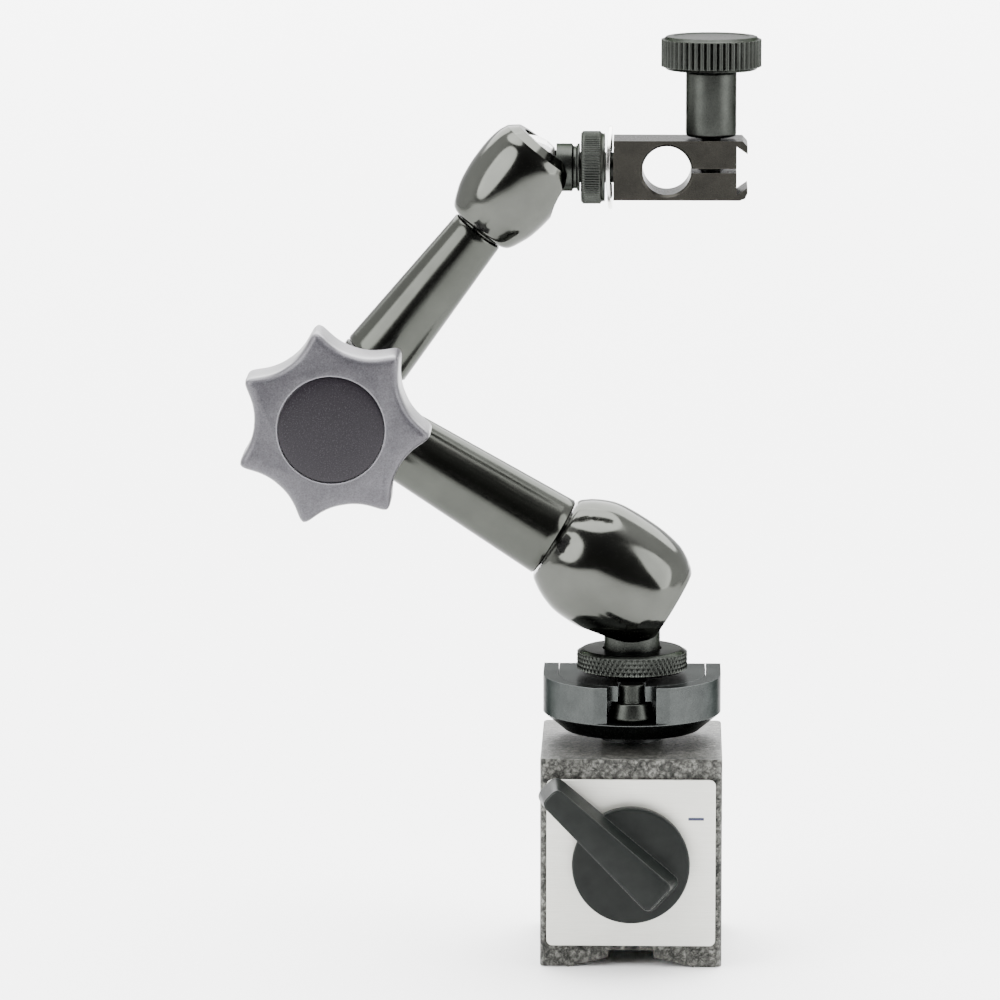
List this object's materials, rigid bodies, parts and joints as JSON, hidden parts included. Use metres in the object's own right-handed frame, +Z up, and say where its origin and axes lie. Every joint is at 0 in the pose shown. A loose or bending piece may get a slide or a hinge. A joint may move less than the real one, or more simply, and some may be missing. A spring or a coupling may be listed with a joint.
{
  "type": "articulated indicator holder on magnetic base",
  "caption": "Articulated arm with a central star knob, ball joints and a stem clamp, on a switchable magnetic base with a fine adjuster.",
  "frame": {"origin": "centre of the object's bounding box in x and y, on the floor that the base stands on", "axes": "+Z up, +X to the right and +Y away when facing the base's front plate"},
  "size_m": [0.0844, 0.0442, 0.1526],
  "materials": {
    "hammertone_paint": "hammertone grey paint over iron, dark specks",
    "spacer_brass": "plain brass strip",
    "plate_aluminium": "brushed aluminium",
    "bearing_brass": "machined brass",
    "magnet_alloy": "ground cast magnet alloy",
    "bright_steel": "plain machined steel",
    "spring_steel": "bright plated spring steel",
    "switch_plastic": "matt black moulded plastic",
    "black_oxide_body": "satin black oxide",
    "black_oxide_turned": "black oxide with turning marks",
    "black_oxide_block": "burnished dark brown-grey",
    "arm_tube_black": "polished black tube, drawn lengthwise",
    "bell_black_nickel": "glossy black nickel",
    "seat_bronze": "plain bronze",
    "knob_silver": "silver metallic moulded plastic",
    "cap_graphite": "dark graphite disc, plain"
  },
  "bodies": {
    "base": {"base_pole_left": "hammertone_paint", "base_pole_right": "hammertone_paint", "base_spacer_top": "spacer_brass", "base_spacer_bottom": "spacer_brass", "label_plate": "plate_aluminium", "front_bearing_disc": "bearing_brass", "rear_bearing_disc": "plate_aluminium", "rotation_stop_pin": "bright_steel", "adjuster_body": "black_oxide_body", "adjuster_mounting_screw": "bright_steel", "tilt_pivot_pin": "bright_steel", "adjuster_pillar": "black_oxide_body"},
    "switch": {"magnet_rotor": "magnet_alloy", "switch_shaft": "bright_steel", "switch_lever": "switch_plastic"},
    "tilt": {"tilt_plate": "black_oxide_body", "lower_post": "black_oxide_body"},
    "wheel": {"adjuster_wheel": "black_oxide_turned"},
    "lower_pivot": {"lower_ball": "bright_steel"},
    "lower_arm": {"lower_bell": "bell_black_nickel", "lower_tube": "arm_tube_black", "lower_elbow_lug": "arm_tube_black", "elbow_bolt": "bright_steel", "elbow_washer": "bright_steel"},
    "lower_rod": {"lower_push_rod": "bright_steel", "lower_ball_seat": "seat_bronze"},
    "wedge": {"locking_wedge": "bright_steel"},
    "knob": {"locking_knob": "knob_silver", "knob_insert": "bearing_brass", "knob_cap": "cap_graphite"},
    "upper_arm": {"upper_elbow_lug": "arm_tube_black", "upper_tube": "arm_tube_black", "upper_bell": "bell_black_nickel"},
    "upper_rod": {"upper_push_rod": "bright_steel", "upper_ball_seat": "seat_bronze"},
    "upper_pivot": {"upper_ball": "bright_steel"},
    "stud": {"upper_stud": "black_oxide_turned"},
    "collar": {"preload_collar": "black_oxide_turned"},
    "clamp": {"clamp_block": "black_oxide_block", "clamp_retaining_pin": "bright_steel", "spring_washer": "spring_steel"},
    "thumb_screw": {"clamp_thumb_screw": "black_oxide_turned"}
  },
  "joints": [
    {"name": "switch_turn", "type": "hinge", "parent": "base", "child": "switch", "pos_m": [0.0213, -0.01195, 0.0179], "axis": [0, 1, 0], "range_deg": [0, 100]},
    {"name": "fine_tilt", "type": "hinge", "parent": "base", "child": "tilt", "pos_m": [0.0213, 0.00725, 0.043], "axis": [-1, 0, 0], "range_deg": [-1, 1.5]},
    {"name": "adjuster_wheel_turn", "type": "hinge", "parent": "tilt", "child": "wheel", "pos_m": [0.0213, 0.00505, 0.0486], "axis": [0, 0, 1], "range_deg": [-105, 155]},
    {"name": "lower_swivel", "type": "hinge", "parent": "tilt", "child": "lower_pivot", "pos_m": [0.0213, 0.00505, 0.0612], "axis": [0, 0, 1], "range_deg": [-180, 180]},
    {"name": "lower_tilt", "type": "hinge", "parent": "lower_pivot", "child": "lower_arm", "pos_m": [0.0213, 0.00505, 0.0612], "axis": [0, 1, 0], "range_deg": [-31, 58]},
    {"name": "elbow_turn", "type": "hinge", "parent": "lower_arm", "child": "upper_arm", "pos_m": [-0.0274, 0.00505, 0.091], "axis": [0, 1, 0], "range_deg": [-190, 16]},
    {"name": "knob_turn", "type": "hinge", "parent": "lower_arm", "child": "knob", "pos_m": [-0.0274, -0.01495, 0.091], "axis": [0, 1, 0], "range_deg": [0, 288]},
    {"name": "wedge_slide", "type": "slide", "parent": "lower_arm", "child": "wedge", "axis": [0, 1, 0], "range_m": [0, 0.0008]},
    {"name": "lower_rod_slide", "type": "slide", "parent": "lower_arm", "child": "lower_rod", "axis": [0.853, 0, -0.5219], "range_m": [0, 0.0002]},
    {"name": "upper_rod_slide", "type": "slide", "parent": "upper_arm", "child": "upper_rod", "axis": [0.6184, 0, 0.7858], "range_m": [0, 0.0002]},
    {"name": "upper_tilt", "type": "hinge", "parent": "upper_arm", "child": "upper_pivot", "pos_m": [0.004, 0.00505, 0.1309], "axis": [0, 1, 0], "range_deg": [-52, 37]},
    {"name": "stud_spin", "type": "hinge", "parent": "upper_pivot", "child": "stud", "pos_m": [0.004, 0.00505, 0.1309], "axis": [1, 0, 0], "range_deg": [-180, 180]},
    {"name": "collar_turn", "type": "hinge", "parent": "stud", "child": "collar", "pos_m": [0.0146, 0.00505, 0.1309], "axis": [1, 0, 0], "range_deg": [-180, 180]},
    {"name": "clamp_swivel", "type": "hinge", "parent": "stud", "child": "clamp", "pos_m": [0.0209, 0.00505, 0.1309], "axis": [1, 0, 0], "range_deg": [-180, 180]},
    {"name": "clamp_screw_turn", "type": "hinge", "parent": "clamp", "child": "thumb_screw", "pos_m": [0.034, 0.00505, 0.14], "axis": [0, 0, 1], "range_deg": [-180, 360]}
  ],
  "couplings": [
    {"joint": "adjuster_wheel_turn", "follows": "fine_tilt", "ratio": 100},
    {"joint": "wedge_slide", "follows": "knob_turn", "m_per_rad": 0.000159},
    {"joint": "lower_rod_slide", "follows": "knob_turn", "m_per_rad": 0.0000397},
    {"joint": "upper_rod_slide", "follows": "knob_turn", "m_per_rad": 0.0000397}
  ]
}
